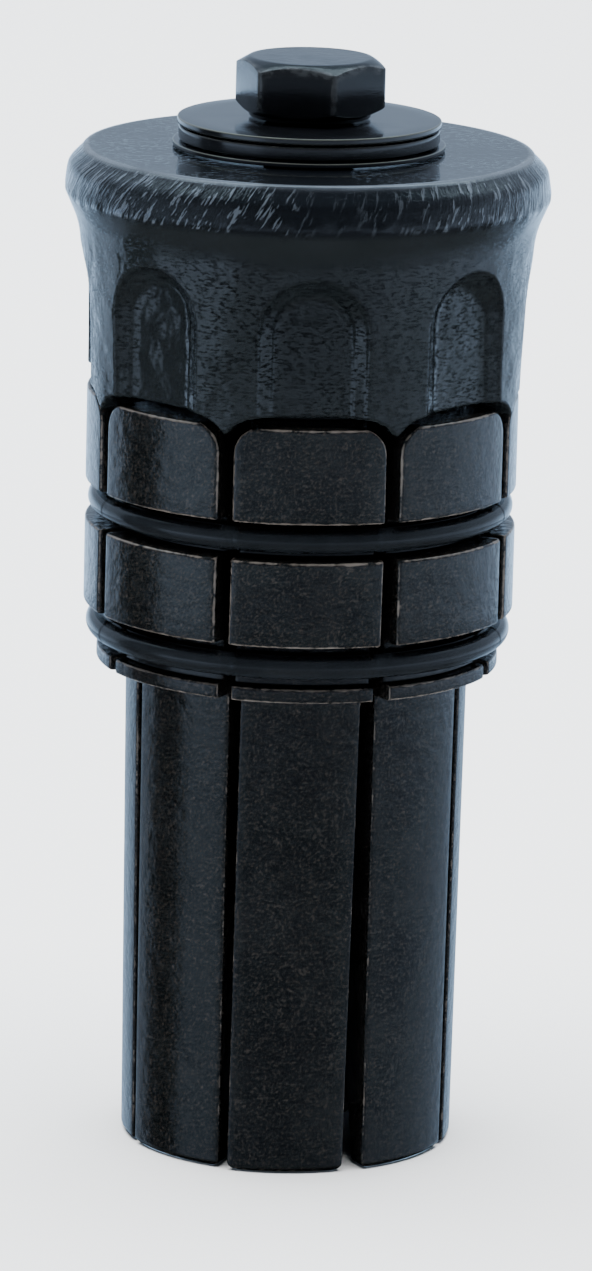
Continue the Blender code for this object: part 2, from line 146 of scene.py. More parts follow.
def skin(name, points, ring=False, **attributes):
    """Covers a grid of points (rows, columns, 3) with four-sided faces that point outwards. Each row is
    a closed loop joined to the next. A ring's last row joins its first; else both get a flat end face.
    Attributes are arrays of one number or one vector for each point."""
    rows, columns = points.shape[:2]
    index = np.arange(rows * columns).reshape(rows, columns)
    band = np.vstack([index, index[:1]]) if ring else index
    right = np.roll(band, -1, axis=1)
    quads = np.stack([band[:-1], right[:-1], right[1:], band[1:]], axis=-1).reshape(-1, 4)
    ends = [] if ring else [index[0][::-1], index[-1]]
    place = points.reshape(-1, 3)
    a, b, c, d = (place[quads[:, k]] for k in range(4))
    volume = np.sum(a * (np.cross(b, c) + np.cross(c, d)))
    for end in ends:
        loop = place[end]
        volume += np.sum(loop.mean(axis=0) * np.cross(loop, np.roll(loop, -1, axis=0)))
    if volume < 0:  # the faces pointed inwards
        quads, ends = quads[:, ::-1], [end[::-1] for end in ends]
    sizes = np.array([4] * len(quads) + [len(end) for end in ends])
    corners = np.concatenate([quads.ravel(), *ends])
    mesh = bpy.data.meshes.new(name)
    mesh.vertices.add(len(place))
    mesh.vertices.foreach_set("co", place.ravel())
    mesh.loops.add(len(corners))
    mesh.loops.foreach_set("vertex_index", corners.astype(np.int32))
    mesh.polygons.add(len(sizes))
    mesh.polygons.foreach_set("loop_start", (np.cumsum(sizes) - sizes).astype(np.int32))
    mesh.polygons.foreach_set("use_smooth", sizes == 4)
    for key, values in attributes.items():
        flat = np.asarray(values, float).reshape(len(place), -1)
        kind, field = ("FLOAT", "value") if flat.shape[1] == 1 else ("FLOAT_VECTOR", "vector")
        mesh.attributes.new(key, kind, "POINT").data.foreach_set(field, flat.ravel())
    mesh.update(calc_edges=True)
    mesh.set_sharp_from_angle(angle=math.radians(55))
    piece = bpy.data.objects.new(name, mesh)
    bpy.context.collection.objects.link(piece)
    return piece


def finish_piece(piece, surface, body, slot, *nodes):
    """Gives a piece its material and the body that carries it, and hides the CAD nodes it stands for.
    The slot is not used.
    """
    piece.data.materials.append(surface)
    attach(piece, body)
    if nodes:
        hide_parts(*nodes)


def segment_rows():
    """A segment's outer side as rows of (radius, height, worn), always rising: the rounded foot, the
    finger, the lip, both pads with fine rows where the upper one's corners are round, and the land."""
    t = np.linspace(0, math.pi / 2, 9)
    height = FOOT_ROUND * (1 - np.cos(t))
    below_chamfer = np.clip(1 - height / FOOT_CHAMFER, 0, 1)
    foot_radius = FOOT_RADIUS - FOOT_CHAMFER * below_chamfer**1.3
    foot = np.stack([foot_radius, height, FOOT_WEAR * below_chamfer], axis=1)
    share = np.linspace(0.04, 0.98, 14)
    finger_height = FOOT_ROUND + share * (LIP_FOOT - 1.2 * MM - FOOT_ROUND)
    finger_radius = FOOT_RADIUS + share * (FINGER_TOP_RADIUS - FOOT_RADIUS)
    finger = np.stack([finger_radius, finger_height, 0 * share], axis=1)
    drop = 0.12 * MM  # a level face slopes by this, so that rows always rise
    body = rounded([
        (FINGER_TOP_RADIUS, LIP_FOOT - 1.0 * MM, 0, 0),
        (FINGER_TOP_RADIUS, LIP_FOOT, 0.5 * MM, 0),
        (LIP_RADIUS, LIP_FOOT + drop, LIP_ROUND, 1),
        (LIP_RADIUS, LIP_TOP - drop, LIP_ROUND, 1),
        (GROOVE_RADIUS, LIP_TOP, GROOVE_FILLET, 0),
        (GROOVE_RADIUS, LOWER_PAD_FOOT, GROOVE_FILLET, 0),
        (PAD_RADIUS, LOWER_PAD_FOOT + drop, PAD_ROUND, 1),
        (PAD_RADIUS, LOWER_PAD_TOP - drop, PAD_ROUND, 1),
        (GROOVE_RADIUS, LOWER_PAD_TOP, GROOVE_FILLET, 0),
        (GROOVE_RADIUS, UPPER_PAD_FOOT, GROOVE_FILLET, 0),
        (PAD_RADIUS, UPPER_PAD_FOOT + drop, PAD_ROUND, 1),
        (PAD_RADIUS, UPPER_PAD_TOP - PAD_CORNER, 0, 0),
    ], 5)
    turn = np.linspace(0.06, 0.95, 9)
    corner_height = UPPER_PAD_TOP - PAD_CORNER + PAD_CORNER * np.sin(turn)
    corner = np.stack([0 * turn + PAD_RADIUS, corner_height, 0 * turn], axis=1)
    top = rounded([
        (PAD_RADIUS, UPPER_PAD_TOP - 0.6 * MM, 0, 0),
        (PAD_RADIUS, UPPER_PAD_TOP - drop, PAD_ROUND, 1),
        (LAND_RADIUS, UPPER_PAD_TOP, 0.2 * MM, 0),
        (LAND_RADIUS, LAND_TOP - 0.05 * MM, 0.2 * MM, 0),
        (LAND_RADIUS - 0.4 * MM, LAND_TOP, 0, 0),
    ], 8)
    return np.vstack([foot, finger, body, corner, top])


def segment_grid():
    """Each row of segment_rows as a closed level loop, as complex numbers x + iy with the segment facing
    +X: an outer arc, a curved edge, the side along the saw cut, a ledge, and half the inner flat, then
    all of it mirrored. A side point at radius r lies at the angle pitch / 2 - asin(distance / r).
    Gives the loops, their heights and how worn each point is."""
    radius, height, worn = (column[:, None] for column in segment_rows().T)
    rise = np.clip(1 - height / FOOT_ROUND, 0, 1)
    inset = FOOT_ROUND * (1 - np.sqrt(1 - rise**2))
    outer_band = radius > (GROOVE_RADIUS + LIP_RADIUS) / 2
    edge = np.where(outer_band, np.where(height < LIP_TOP, LIP_EDGE, PAD_EDGE), FINGER_EDGE)
    relief = np.where(outer_band, PAD_SIDE_RELIEF, 0)
    cut = HALF_GAP + inset
    above = np.clip(height - (UPPER_PAD_TOP - PAD_CORNER), 0, PAD_CORNER)
    in_corner = (above > 0) & (radius > LAND_RADIUS + 0.1 * MM)
    corner_half_width = PAD_HALF_WIDTH - PAD_CORNER + np.sqrt(PAD_CORNER**2 - above**2)
    half_width = np.where(in_corner, corner_half_width, 1.0)
    reach = np.minimum(PITCH_ANGLE / 2 - np.arcsin((cut + relief) / radius),
                       np.arcsin(np.clip((half_width - relief) / radius, 0, 1)))
    step_radius = np.minimum(LAND_RADIUS, radius - LEDGE_INSET)
    step_reach = np.minimum(PITCH_ANGLE / 2 - np.arcsin(cut / step_radius),
                            np.arcsin(np.clip(half_width / step_radius, 0, 1)))
    under = step_radius - LEDGE_STEP
    flat = np.maximum(SHANK_FLAT, WEDGE_FOOT_FLAT - height * math.tan(WEDGE_ANGLE))
    side = flat * math.tan(PITCH_ANGLE / 2) - cut / math.cos(PITCH_ANGLE / 2)

    arc_end = reach - edge / radius
    start, corner = radius * np.exp(1j * arc_end), radius * np.exp(1j * reach)
    ledge = step_radius * np.exp(1j * step_reach)
    down = (ledge - corner) / np.abs(ledge - corner)
    end = corner + down * edge
    below = under * np.exp(1j * (PITCH_ANGLE / 2 - np.arcsin(cut / under)))
    inner = flat + 1j * side

    arc = radius * np.exp(1j * arc_end * np.linspace(0, 1, 12)[None])
    t = np.linspace(0.2, 1, 5)[None]
    curve = (1 - t) ** 2 * start + 2 * t * (1 - t) * corner + t**2 * end
    third = np.array([1 / 3, 2 / 3, 1])[None]
    upper, lower = end + (ledge - end) * third, below + (inner - below) * third
    half = np.hstack([arc, curve, upper, below, lower, flat + 0.5j * side, flat + 0j])
    rub, faces_out = np.zeros(half.shape), np.zeros(half.shape)
    on_arc, on_edge = slice(0, arc.shape[1]), slice(arc.shape[1], arc.shape[1] + curve.shape[1])
    rub[:, on_edge] = np.sin(math.pi * t) ** 3
    faces_out[:, on_arc] = 1
    faces_out[:, on_edge] = 1 - t
    strength = np.where(outer_band, 1.0, np.where(height < LIP_FOOT, FINGER_EDGE_WEAR, GROOVE_EDGE_WEAR))
    wear = np.maximum(rub * strength, faces_out * worn)
    loop = np.hstack([half, np.conj(half[:, -2:0:-1])])
    wear = np.hstack([wear, wear[:, -2:0:-1]])
    return loop, height + 0 * loop.real, wear


# Black-oxided, turned steel: a near-black conversion layer that gleams at a slant like thin oil,
# with faint level tool marks, warm specks where the oxide is thin, and bare brownish-grey edges.
blackened_steel, tree, shader = new_material("black_oxided_turned_steel", IOR=1.75)
GRAIN = 1 / (0.4 * MM)  # a speck, drawn coarser than the real oxide's grain so that it shows
place = add_node(tree, "ShaderNodeTexCoord").outputs["Object"]
cloud = add_node(tree, "ShaderNodeTexNoise", {"Scale": 1 / (9 * MM), "Detail": 5.0}, Vector=place)
specks = add_node(tree, "ShaderNodeTexNoise", {"Scale": GRAIN, "Detail": 3.0, "Roughness": 0.65},
                  Vector=place)
squashed = add_node(tree, "ShaderNodeMapping", {"Scale": (1.0, 1.0, 5.0)}, Vector=place)
marks = add_node(tree, "ShaderNodeTexNoise", {"Scale": 1 / (2.2 * MM), "Detail": 4.0, "Roughness": 0.65},
                 Vector=squashed.outputs[0])
tone = add_node(tree, "ShaderNodeMix", {"data_type": "FLOAT", 0: 0.6},
                i2=cloud.outputs["Fac"], i3=marks.outputs["Fac"])
film = add_node(tree, "ShaderNodeMapRange", {1: 0.4, 2: 0.62, 3: 0.0, 4: 1.0}, i0=tone.outputs[0])
black = add_node(tree, "ShaderNodeMix", {"data_type": "RGBA", 6: linear(OXIDE_BLACK), 7: linear(OXIDE_GREY)},
                 i0=film.outputs[0])
thin = add_node(tree, "ShaderNodeMapRange", {1: 0.52, 2: 0.72, 3: 0.0, 4: 1.0}, i0=specks.outputs["Fac"])
speckled = add_node(tree, "ShaderNodeMix", {"data_type": "RGBA", 7: linear(THIN_OXIDE)},
                    i0=thin.outputs[0], i6=black.outputs[2])
rubbed = add_node(tree, "ShaderNodeAttribute", {"attribute_name": "wear"})
patchy = add_node(tree, "ShaderNodeTexNoise", {"Scale": 1 / (2.4 * MM), "Detail": 7.0, "Roughness": 0.78},
                  Vector=place)
patches = add_node(tree, "ShaderNodeMapRange", {1: 0.34, 2: 0.66, 3: -0.75, 4: 0.52},
                   i0=patchy.outputs["Fac"])
raised = add_node(tree, "ShaderNodeMath", {"operation": "ADD"},
                  i0=rubbed.outputs["Fac"], i1=patches.outputs[0])
bare = add_node(tree, "ShaderNodeMapRange", {1: 0.45, 2: 1.35, 3: 0.0, 4: 0.85}, i0=raised.outputs[0])
bare_colour = add_node(tree, "ShaderNodeMix",
                       {"data_type": "RGBA", 6: linear(WORN_BROWN), 7: linear(WORN_STEEL)},
                       i0=cloud.outputs["Fac"])
colour = add_node(tree, "ShaderNodeMix", {"data_type": "RGBA"},
                  i0=bare.outputs[0], i6=speckled.outputs[2], i7=bare_colour.outputs[2])
metal = add_node(tree, "ShaderNodeMath", {"operation": "MULTIPLY", 1: 0.8}, i0=bare.outputs[0])
wander = add_node(tree, "ShaderNodeTexNoise", {"Scale": 1 / (1.7 * MM), "Detail": 3.0, "Roughness": 0.5},
                  Vector=place)
rough = add_node(tree, "ShaderNodeMapRange", {1: 0.32, 2: 0.68, 3: 0.1, 4: 0.22}, i0=wander.outputs["Fac"])
relief = add_node(tree, "ShaderNodeMix", {"data_type": "FLOAT", 0: 0.5},
                  i2=specks.outputs["Fac"], i3=marks.outputs["Fac"])
waves = add_node(tree, "ShaderNodeMath", {"operation": "MULTIPLY_ADD", 1: 2.5},
                 i0=wander.outputs["Fac"], i2=relief.outputs[0])
bump = add_node(tree, "ShaderNodeBump", {"Strength": 1.0, "Distance": 0.046 * MM}, Height=waves.outputs[0])
feed(tree, shader, Base_Color=colour.outputs[2], Metallic=metal.outputs[0],
     Roughness=rough.outputs[0], Normal=bump.outputs[0])

LEAN = (-0.55, 0.2, -0.15, 0.2, -0.2, 0.15, 0.2, -0.35)  # degrees that each loose segment leans sideways
loop, loop_height, loop_wear = segment_grid()
for number in range(1, SEGMENT_COUNT + 1):
    sideways = np.minimum(loop_height - UPPER_PAD_FOOT, 0) * math.tan(math.radians(-LEAN[number - 1]))
    turned = (loop + 1j * sideways) * np.exp(1j * (FRONT + PITCH_ANGLE * (number - 1)))
    points = np.stack([turned.real, turned.imag, loop_height], axis=-1)
    segment = skin(f"segment_{number}_finished", points, wear=loop_wear)
    finish_piece(segment, blackened_steel, f"segment_group_{number}", "blackened_steel", f"segment_{number}")


# Two rubber rings of round section lie in the grooves and draw the segments in. Each is made here
# as eight arcs that ride on the segments. The ends of every second arc are a hair thinner and slide
# inside its neighbours, so that the ring grows as the segments spread.
RING_SECTION_RADIUS = 1.7 * MM
RING_RADIUS = 28.8 * MM
RING_OVERLAP = math.radians(2.2)
RING_TUCK = 0.05 * MM  # how much thinner the sliding end is


def ring_arc_grid(middle, height, tuck):
    """The ring's round section carried along an arc: half a pitch and the overlap to either side of its
    middle, with the section's radius less by the tuck beyond half a pitch less the overlap."""
    half = PITCH_ANGLE / 2
    thin_from = half - RING_OVERLAP
    body = np.linspace(-thin_from * 0.995, thin_from * 0.995, 29)
    end = np.array([thin_from * 1.005, half, half + RING_OVERLAP])
    p = np.concatenate([-end[::-1], body, end])
    section = RING_SECTION_RADIUS - tuck * (np.abs(p) > thin_from)[:, None]
    q = np.linspace(0, 2 * math.pi, 36, endpoint=False)[None]
    radius = RING_RADIUS + section * np.cos(q)
    angle = middle + p[:, None]
    return np.stack([radius * np.cos(angle), radius * np.sin(angle), height + section * np.sin(q)], axis=-1)


# Moulded nitrile rubber: deep black and smooth, wet-looking where it is stretched over the
# segments, with a little dust and fine scuffs that dull the highlight in places.
rubber, tree, shader = new_material("moulded_nitrile_rubber", IOR=1.6)
place = add_node(tree, "ShaderNodeTexCoord").outputs["Object"]
dust = add_node(tree, "ShaderNodeTexNoise", {"Scale": 1 / (4 * MM), "Detail": 6.0, "Roughness": 0.6},
                Vector=place)
colour = add_node(tree, "ShaderNodeMix", {"data_type": "RGBA", 6: linear("#080A0C"), 7: linear("#181C20")},
                  i0=dust.outputs["Fac"])
rough = add_node(tree, "ShaderNodeMapRange", {1: 0.35, 2: 0.7, 3: 0.1, 4: 0.22}, i0=dust.outputs["Fac"])
scuffs = add_node(tree, "ShaderNodeTexNoise", {"Scale": 1 / (0.6 * MM), "Detail": 2.0}, Vector=place)
bump = add_node(tree, "ShaderNodeBump", {"Strength": 0.15, "Distance": 0.05 * MM},
                Height=scuffs.outputs["Fac"])
feed(tree, shader, Base_Color=colour.outputs[2], Roughness=rough.outputs[0], Normal=bump.outputs[0])

for ring_name in ("lower_o_ring", "upper_o_ring"):
    low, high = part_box(ring_name)
    for number in range(1, SEGMENT_COUNT + 1):
        middle = FRONT + PITCH_ANGLE * (number - 1)
        grid = ring_arc_grid(middle, (low[2] + high[2]) / 2, RING_TUCK * (number % 2))
        arc = skin(f"{ring_name}_arc_{number}", grid)
        finish_piece(arc, rubber, f"segment_group_{number}", "rubber", ring_name)


# The mandrel is a turned and milled steel cone with eight flats, threaded onto the bolt inside the
# segments. The stop ring is pinned to the bolt's end and keeps the mandrel on. Both are oiled.
BORE_RADIUS = 6.65 * MM
MANDREL_FIT = 0.3 * MM
MANDREL_EDGE = 0.4 * MM


def turned_grid(profile, steps=96):
    """A profile of (radius, height) rows carried round the axis: x, y = radius * cos, sin of the turn."""
    turn = np.linspace(0, 2 * math.pi, steps, endpoint=False)[None]
    radius, height = profile[:, 0:1], profile[:, 1:2]
    return np.stack([radius * np.cos(turn), radius * np.sin(turn), height + 0 * turn], axis=-1)


def closed_profile(corners):
    """A closed outline of (radius, height, reach, worn) corners, rounded: rows of (radius, height, worn)."""
    around = [corners[-1], *corners, corners[0]]
    return rounded(around, 4)[1:-1]


def many_sided(sides, turn, rounding, steps):
    """An outline whose flats lie at 1 from the axis and whose corners are rounded, as (angles, radii):
    1 / cos(angle from the flat's middle), held below a limit short of the corner by the smooth least
    value limit - softness * log(1 + e^((limit - value) / softness)). Its points crowd at the corners."""
    part = np.linspace(-1, 1, steps + 1)[:-1]
    bend = np.sign(part) * (1 - (1 - np.abs(part)) ** 1.7) * math.pi / sides
    angle = (np.arange(sides)[:, None] * 2 * math.pi / sides + bend[None]).ravel()
    sharp = 1 / np.cos(np.tile(bend, sides))
    limit = 1 / math.cos(math.pi / sides) - rounding
    softness = 0.35 * rounding + 1e-7
    held = limit - softness * np.log1p(np.exp((limit - sharp) / softness))
    return angle + turn, np.where(sharp > limit - 6 * softness, held, sharp)


# Milled carbon steel under a film of oil: grey, with fine level tool marks and soft dark smears.
milled_steel, tree, shader = new_material("oiled_milled_steel", Metallic=1.0)
place = add_node(tree, "ShaderNodeTexCoord").outputs["Object"]
smear = add_node(tree, "ShaderNodeTexNoise", {"Scale": 1 / (6 * MM), "Detail": 5.0}, Vector=place)
squashed = add_node(tree, "ShaderNodeMapping", {"Scale": (1.0, 1.0, 14.0)}, Vector=place)
marks = add_node(tree, "ShaderNodeTexNoise", {"Scale": 1 / (1.2 * MM), "Detail": 2.0},
                 Vector=squashed.outputs[0])
colour = add_node(tree, "ShaderNodeMix", {"data_type": "RGBA", 6: linear("#3A3B3C"), 7: linear("#77787A")},
                  i0=smear.outputs["Fac"])
rough = add_node(tree, "ShaderNodeMapRange", {3: 0.28, 4: 0.5}, i0=marks.outputs["Fac"])
bump = add_node(tree, "ShaderNodeBump", {"Strength": 0.4, "Distance": 0.03 * MM}, Height=marks.outputs["Fac"])
feed(tree, shader, Base_Color=colour.outputs[2], Roughness=rough.outputs[0], Normal=bump.outputs[0])

low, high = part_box("mandrel")
turn, shape = many_sided(SEGMENT_COUNT, FRONT, 0.02, 16)
foot_flat = WEDGE_FOOT_FLAT - low[2] * math.tan(WEDGE_ANGLE) - MANDREL_FIT
top_flat = WEDGE_FOOT_FLAT - high[2] * math.tan(WEDGE_ANGLE) - MANDREL_FIT
flats = np.array([foot_flat - MANDREL_EDGE, foot_flat, top_flat, top_flat - MANDREL_EDGE])[:, None]
heights = np.array([low[2], low[2] + MANDREL_EDGE, high[2] - MANDREL_EDGE, high[2], high[2], low[2]])
radius = np.vstack([flats * shape, np.full((2, len(turn)), BORE_RADIUS)])
grid = np.stack([radius * np.cos(turn), radius * np.sin(turn), heights[:, None] + 0 * turn], axis=-1)
mandrel = skin("mandrel_finished", grid, ring=True)
finish_piece(mandrel, milled_steel, "mandrel_group", "blackened_steel", "mandrel")

low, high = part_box("stop_ring")
profile = closed_profile([
    (BORE_RADIUS, low[2], 0.3 * MM, 0), (high[0], low[2], 0.8 * MM, 0),
    (high[0], high[2], 0.8 * MM, 0), (BORE_RADIUS, high[2], 0.3 * MM, 0),
])
stop_ring = skin("stop_ring_finished", turned_grid(profile), ring=True)
finish_piece(stop_ring, milled_steel, "bolt_group", "bolt_steel", "stop_ring")


# The collar is a steel drop forging: a flat top, a ground rim, a hollow neck and eight arched
# scoops over the pads, with tongues that reach down between them. The bolt pulls it down on the
# segments' lands. It is black oxided over its rough forged skin.
collar_low, collar_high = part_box("collar")
COLLAR_TOP, TONGUE_FOOT = collar_high[2], collar_low[2]
COLLAR_FOOT = 111.8 * MM
COLLAR_BORE, BORE_CHAMFER = 6.9 * MM, 0.4 * MM
SKIRT_INNER_RADIUS = 27.0 * MM
SCOOP_HALF_WIDTH = 7.9 * MM
SCOOP_TOP = 131.6 * MM
SCOOP_FLOOR = 29.5 * MM
SCOOP_WALL = 3.4 * MM
SCOOP_DRAFT = math.radians(1)
SCALLOP_CLEARANCE = 1.4 * MM
FILLET_FOOT, FILLET_TOP = 131 * MM, 136 * MM
TOP_EDGE_RADIUS = 31.8 * MM
OUTSIDE = np.array([  # (height, radius) in mm up the ridges, the hollow neck, the rim and its shoulder
    (109.0, 31.60), (112.0, 31.65), (116.0, 31.72), (120.0, 31.85), (124.0, 31.98), (127.9, 32.12),
    (130.8, 32.25), (132.3, 32.38), (133.7, 32.62), (135.2, 33.05), (136.7, 33.70), (138.0, 34.30),
    (138.7, 34.58), (139.3, 34.66), (142.0, 34.30), (142.7, 34.05), (144.7, 32.05),
]) * MM
SHOULDER_TOP = OUTSIDE[-1, 0]
RIM_EDGE, RIM_MIDDLE, RIM_RADIUS = 138.9 * MM, 141 * MM, 34 * MM
GRINDING = np.array([  # (degrees round from the front, how much the rim was ground bright there)
    (0, 0.02), (24, 0.15), (38, 0.6), (72, 0.6), (100, 0.2), (140, 0.9),
    (200, 0.3), (240, 0.8), (290, 0.9), (334, 1.0), (352, 0.3), (360, 0.02),
])


def smooth_line(at, known, values):
    """The straight lines between known points with their bends smoothed: the mean of their values at
    nine places from 0.45 mm before to 0.45 mm past the one asked for."""
    spread = np.linspace(-0.45, 0.45, 9) * MM
    return np.mean([np.interp(at + s, known, values) for s in spread], axis=0)


def collar_grid(columns=592, rows=112):
    """The collar as (rows, columns, 3). Outside, radius(turn, height) is the ridge line less the scoop,
    whose share is 1 - (1 - d / wall)^2 at a distance d inside the arch, with low sine waves for the
    uneven skin and finer ones at the rim's ragged edge. The lowest row follows the scallops: clearance
    + corner radius round each pad corner's centre. Then come the flat top, the bore, the underside and
    the skirt's foot. Also gives the turns and d for the outside's rows."""
    turn = np.linspace(0, 2 * math.pi, columns, endpoint=False) + FRONT
    local = (turn - FRONT + PITCH_ANGLE / 2) % PITCH_ANGLE - PITCH_ANGLE / 2
    across = PAD_RADIUS * np.sin(local)
    around_corner = PAD_CORNER + SCALLOP_CLEARANCE
    beyond = np.clip(np.abs(across) - (PAD_HALF_WIDTH - PAD_CORNER), 0, around_corner)
    scallop = UPPER_PAD_TOP - PAD_CORNER + np.sqrt(around_corner**2 - beyond**2)
    soft = 0.35 * MM  # how far the skirt's lower edge is rounded
    foot = TONGUE_FOOT + soft * np.log1p(np.exp((scallop - TONGUE_FOOT) / soft)) - 0.02 * MM
    foot = np.minimum(foot, COLLAR_FOOT - 0.05 * MM)

    t = np.linspace(0, 1, rows)[:, None]
    height = foot + soft + t * (SHOULDER_TOP - foot - soft)
    radius = smooth_line(height, OUTSIDE[:, 0], OUTSIDE[:, 1])
    side = radius * np.sin(local)
    crown = SCOOP_TOP - SCOOP_HALF_WIDTH
    inside = SCOOP_HALF_WIDTH - np.hypot(side, np.clip(height - crown, 0, None))
    share = 1 - (1 - np.clip(inside / SCOOP_WALL, 0, 1)) ** 2
    hollow = SCOOP_FLOOR - (height - COLLAR_FOOT) * math.tan(SCOOP_DRAFT)
    floor = np.minimum(hollow / np.cos(local), radius)
    uneven = 0.08 * MM * (np.sin(5 * turn + height / (9 * MM)) + np.sin(11 * turn - height / (6 * MM)))
    fade = np.clip((RIM_MIDDLE - height) / (4 * MM), 0, 1)
    nicks = np.sin(23 * turn + height / (1.1 * MM)) + np.sin(43 * turn - height / (0.8 * MM))
    nicks += np.sin(71 * turn)
    ragged = 0.05 * MM * nicks * np.exp(-(((height - RIM_EDGE) / (0.9 * MM)) ** 2))
    radius = radius - share * (radius - floor) + uneven * fade + ragged - 0.02 * MM

    inner = np.array([  # (radius, height) over the flat top, down the bore and out along the underside
        (31.9 * MM, COLLAR_TOP - 0.06 * MM), (31.5 * MM, COLLAR_TOP), (31.1 * MM, COLLAR_TOP),
        (20 * MM, COLLAR_TOP), (COLLAR_BORE + BORE_CHAMFER, COLLAR_TOP),
        (COLLAR_BORE, COLLAR_TOP - BORE_CHAMFER), (COLLAR_BORE, COLLAR_FOOT + BORE_CHAMFER),
        (COLLAR_BORE + BORE_CHAMFER, COLLAR_FOOT), (20 * MM, COLLAR_FOOT), (SKIRT_INNER_RADIUS, COLLAR_FOOT),
    ])
    inner_radius, inner_height = (column[:, None] + 0 * turn for column in inner.T)
    skirt = 0 * turn + SKIRT_INNER_RADIUS
    foot_radius = np.stack([skirt, skirt + 0.3 * MM, radius[0] - soft, radius[0] - 0.1 * MM])
    foot_height = np.stack([foot + 0.02 * MM, foot, foot, foot + 0.1 * MM])
    all_radius = np.vstack([radius, inner_radius, foot_radius])
    all_height = np.vstack([height, inner_height, foot_height])
    points = np.stack([all_radius * np.cos(turn), all_radius * np.sin(turn), all_height], axis=-1)
    return points, turn, inside


points, turn, inside = collar_grid()
height = points[..., 2]
radius = np.hypot(points[..., 0], points[..., 1])
outer = radius > SKIRT_INNER_RADIUS + 1 * MM
on_rim = np.clip((height - RIM_EDGE + 0.7 * MM) / (0.6 * MM), 0, 1)
below_top = np.clip((SHOULDER_TOP + 0.2 * MM - height) / (0.5 * MM), 0, 1)
ground_share = on_rim * below_top * outer * np.interp(np.degrees(turn - FRONT), *GRINDING.T)
slope = np.radians(24 - 12 * np.sin(turn - FRONT))  # how far the grinding strokes slant, round the rim
stroke = turn - (height - RIM_MIDDLE) * np.tan(slope) / RIM_RADIUS
ground_way = np.stack([RIM_RADIUS * np.cos(stroke), RIM_RADIUS * np.sin(stroke), height], axis=-1)
edge_distance = np.full(radius.shape, -0.02)
edge_distance[: len(inside)] = inside
skin_depth = np.clip((RIM_EDGE - 0.3 * MM - height) / (1 * MM), 0.03, 1) * outer
top_edge = np.exp(-(((radius - TOP_EDGE_RADIUS) / (0.35 * MM)) ** 2)) * (height > SHOULDER_TOP - 0.7 * MM)

# Drop-forged steel, black oxided: a near-black skin with level pits, fewer on the scoops' floors
# and nearly none above the fillet, a step round each scoop where the dies met, a smooth and glossy
# flat top, and a dressed rim with slanting bright grinding strokes in patches.
forged_steel, tree, shader = new_material("black_oxided_drop_forging", IOR=1.75)
place = add_node(tree, "ShaderNodeTexCoord").outputs["Object"]
cloud = add_node(tree, "ShaderNodeTexNoise", {"Scale": 1 / (8 * MM), "Detail": 6.0, "Roughness": 0.6},
                 Vector=place)
forged = add_node(tree, "ShaderNodeAttribute", {"attribute_name": "forged"}).outputs["Fac"]
level = add_node(tree, "ShaderNodeMapping", {"Scale": (1.0, 1.0, 3.0)}, Vector=place)
pits = add_node(tree, "ShaderNodeTexNoise",
                {"Scale": 1 / (0.95 * MM), "Detail": 5.0, "Roughness": 0.62, "Distortion": 0.25},
                Vector=level.outputs[0])
pit_floor = add_node(tree, "ShaderNodeMapRange", {1: 0.36, 2: 0.46, 3: 0.0, 4: 1.0}, i0=pits.outputs["Fac"])
groups = add_node(tree, "ShaderNodeTexNoise", {"Scale": 1 / (11 * MM), "Detail": 3.0}, Vector=place)
pitted = add_node(tree, "ShaderNodeMapRange", {1: 0.4, 2: 0.6, 3: 0.35, 4: 1.0}, i0=groups.outputs["Fac"])
up = add_node(tree, "ShaderNodeSeparateXYZ", Vector=place).outputs["Z"]
below_fillet = add_node(tree, "ShaderNodeMapRange", {1: FILLET_FOOT, 2: FILLET_TOP, 3: 1.0, 4: 0.06}, i0=up)
distance = add_node(tree, "ShaderNodeAttribute", {"attribute_name": "scoop_edge"})
die_smooth = add_node(tree, "ShaderNodeMapRange", {1: 1.8 * MM, 2: 3.4 * MM, 3: 1.0, 4: 0.55},
                      i0=distance.outputs["Fac"])
pitted_skin = add_node(tree, "ShaderNodeMath", {"operation": "MULTIPLY"},
                       i0=pitted.outputs[0], i1=die_smooth.outputs[0])
pit_share = add_node(tree, "ShaderNodeMath", {"operation": "MULTIPLY"},
                     i0=pitted_skin.outputs[0], i1=below_fillet.outputs[0])
skin_relief = add_node(tree, "ShaderNodeMath", {"operation": "MULTIPLY"},
                       i0=pit_floor.outputs[0], i1=pit_share.outputs[0])
scale_colour = add_node(tree, "ShaderNodeMix",
                        {"data_type": "RGBA", 6: linear("#0B0F10"), 7: linear("#171B1D")},
                        i0=cloud.outputs["Fac"])
pit_here = add_node(tree, "ShaderNodeMath", {"operation": "SUBTRACT", 0: 1.0}, i1=pit_share.outputs[0])
pit_shade = add_node(tree, "ShaderNodeMath", {"operation": "MAXIMUM"},
                     i0=pit_here.outputs[0], i1=pit_floor.outputs[0])
# Pits are coloured near black (#050607), darker than the skin round them: painted shade in the pits.
pit_colour = add_node(tree, "ShaderNodeMix", {"data_type": "RGBA", 6: linear("#050607")},
                      i0=pit_shade.outputs[0], i7=scale_colour.outputs[2])
black = add_node(tree, "ShaderNodeMix", {"data_type": "RGBA", 6: linear("#06080B")},
                 i0=forged, i7=pit_colour.outputs[2])
way = add_node(tree, "ShaderNodeAttribute", {"attribute_name": "ground_way"})
stretched = add_node(tree, "ShaderNodeMapping", {"Scale": (1.0, 1.0, 0.25)}, Vector=way.outputs["Vector"])
strokes = add_node(tree, "ShaderNodeTexNoise",
                   {"Scale": 1 / (0.65 * MM), "Detail": 3.0, "Roughness": 0.6, "Distortion": 0.1},
                   Vector=stretched.outputs[0])
ground = add_node(tree, "ShaderNodeAttribute", {"attribute_name": "ground"}).outputs["Fac"]
stroke_relief = add_node(tree, "ShaderNodeMath", {"operation": "MULTIPLY"},
                         i0=strokes.outputs["Fac"], i1=ground)
